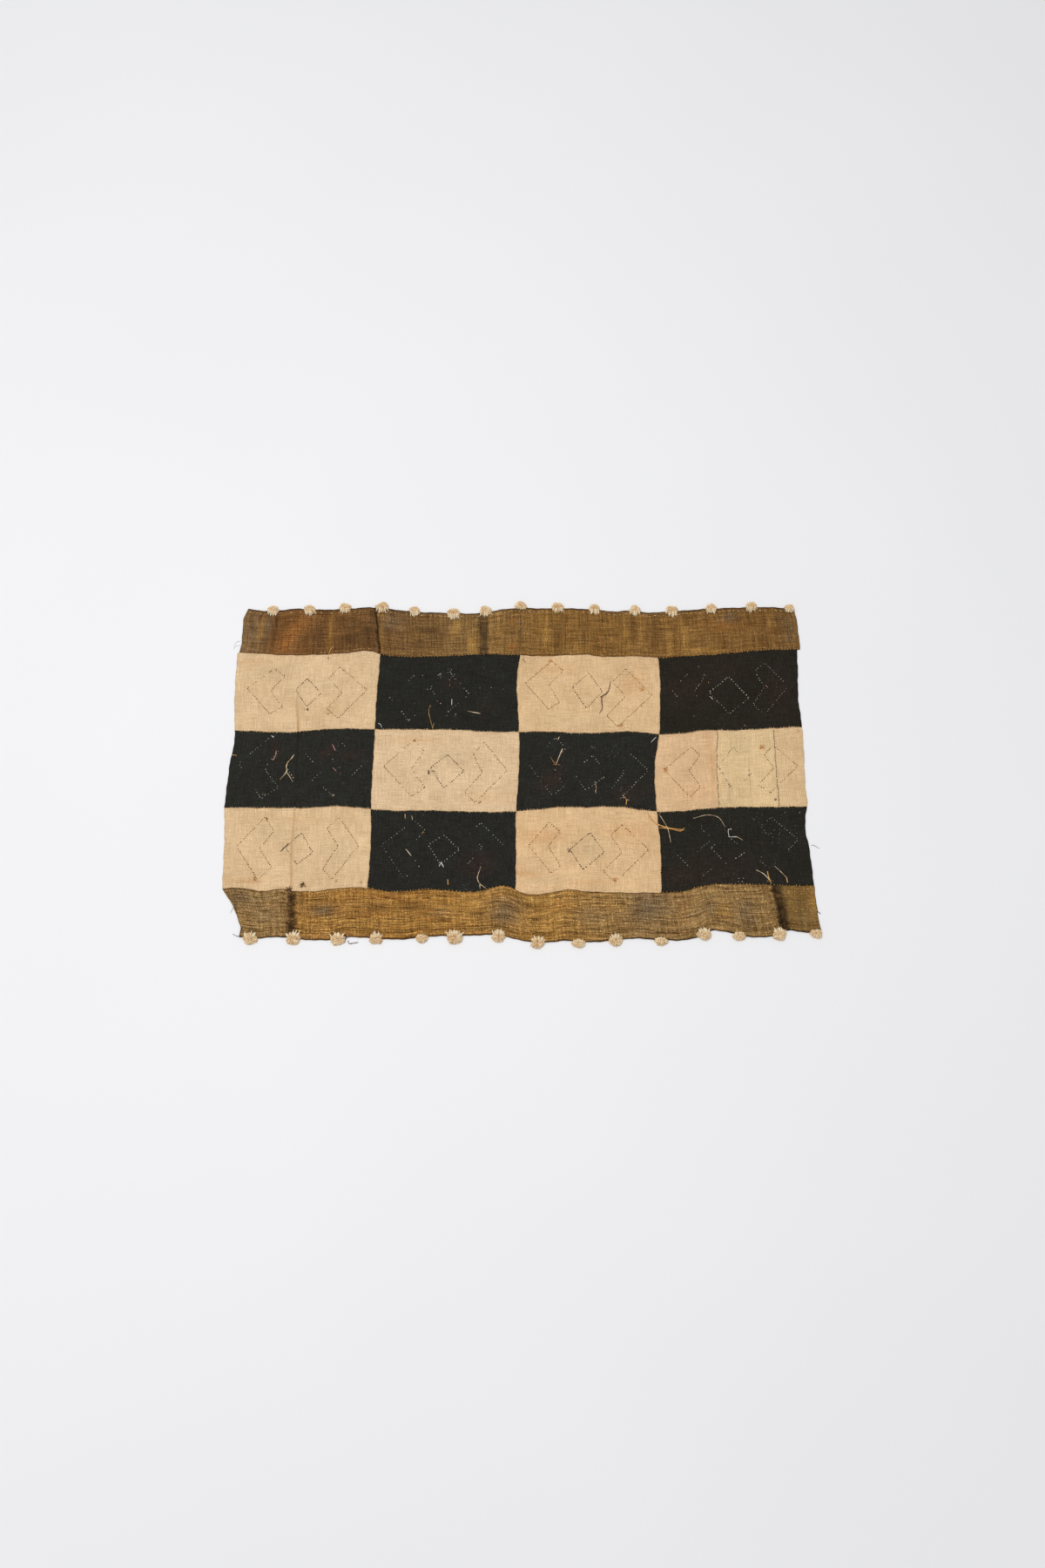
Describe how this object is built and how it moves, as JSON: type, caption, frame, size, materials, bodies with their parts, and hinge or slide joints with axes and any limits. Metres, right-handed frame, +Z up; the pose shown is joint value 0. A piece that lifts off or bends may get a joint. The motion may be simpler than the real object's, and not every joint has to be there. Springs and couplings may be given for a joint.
{
  "type": "kuba raffia panel cloth with pompom borders, laid flat",
  "caption": "Flat raffia panel cloth, tan and black checks between dyed border strips, with raffia pompoms along both long edges.",
  "frame": {"origin": "middle of the cloth's outline, on the floor that it lies on", "axes": "+X along the cloth's long side, +Y across it from the ochre border to the olive one, +Z up from the floor"},
  "size_m": [1.2912, 0.8266, 0.0127],
  "materials": {
    "raffia_tan": "matt plain weave, undyed raffia",
    "raffia_black": "matt plain weave, dyed near-black",
    "raffia_olive": "matt plain weave, olive-brown with darker streaks",
    "raffia_ochre": "matt slubby weave, ochre with dark patches",
    "raffia_pompom": "loose raffia strands, undyed"
  },
  "bodies": {
    "root": {"bottom_border_1": "raffia_ochre", "bottom_border_2": "raffia_ochre", "bottom_border_3": "raffia_ochre", "bottom_pompom_01": "raffia_pompom", "bottom_pompom_02": "raffia_pompom", "bottom_pompom_03": "raffia_pompom", "bottom_pompom_04": "raffia_pompom", "bottom_pompom_05": "raffia_pompom", "bottom_pompom_06": "raffia_pompom", "bottom_pompom_07": "raffia_pompom", "bottom_pompom_08": "raffia_pompom", "bottom_pompom_09": "raffia_pompom", "bottom_pompom_10": "raffia_pompom", "bottom_pompom_11": "raffia_pompom", "bottom_pompom_12": "raffia_pompom", "bottom_pompom_13": "raffia_pompom", "bottom_pompom_14": "raffia_pompom", "bottom_pompom_15": "raffia_pompom", "check_1_1_tan": "raffia_tan", "check_1_2_black": "raffia_black", "check_1_3_tan": "raffia_tan", "check_1_4_black": "raffia_black", "check_2_1_black": "raffia_black", "check_2_2_tan": "raffia_tan", "check_2_3_black": "raffia_black", "check_2_4_tan_strip_1": "raffia_tan", "check_2_4_tan_strip_2": "raffia_tan", "check_2_4_tan_strip_3": "raffia_tan", "check_3_1_tan": "raffia_tan", "check_3_2_black": "raffia_black", "check_3_3_tan": "raffia_tan", "check_3_4_black": "raffia_black", "top_border_1": "raffia_olive", "top_border_2": "raffia_olive", "top_border_3": "raffia_olive", "top_pompom_01": "raffia_pompom", "top_pompom_02": "raffia_pompom", "top_pompom_03": "raffia_pompom", "top_pompom_04": "raffia_pompom", "top_pompom_05": "raffia_pompom", "top_pompom_06": "raffia_pompom", "top_pompom_07": "raffia_pompom", "top_pompom_08": "raffia_pompom", "top_pompom_09": "raffia_pompom", "top_pompom_10": "raffia_pompom", "top_pompom_11": "raffia_pompom", "top_pompom_12": "raffia_pompom", "top_pompom_13": "raffia_pompom", "top_pompom_14": "raffia_pompom", "top_pompom_15": "raffia_pompom"}
  },
  "joints": []
}
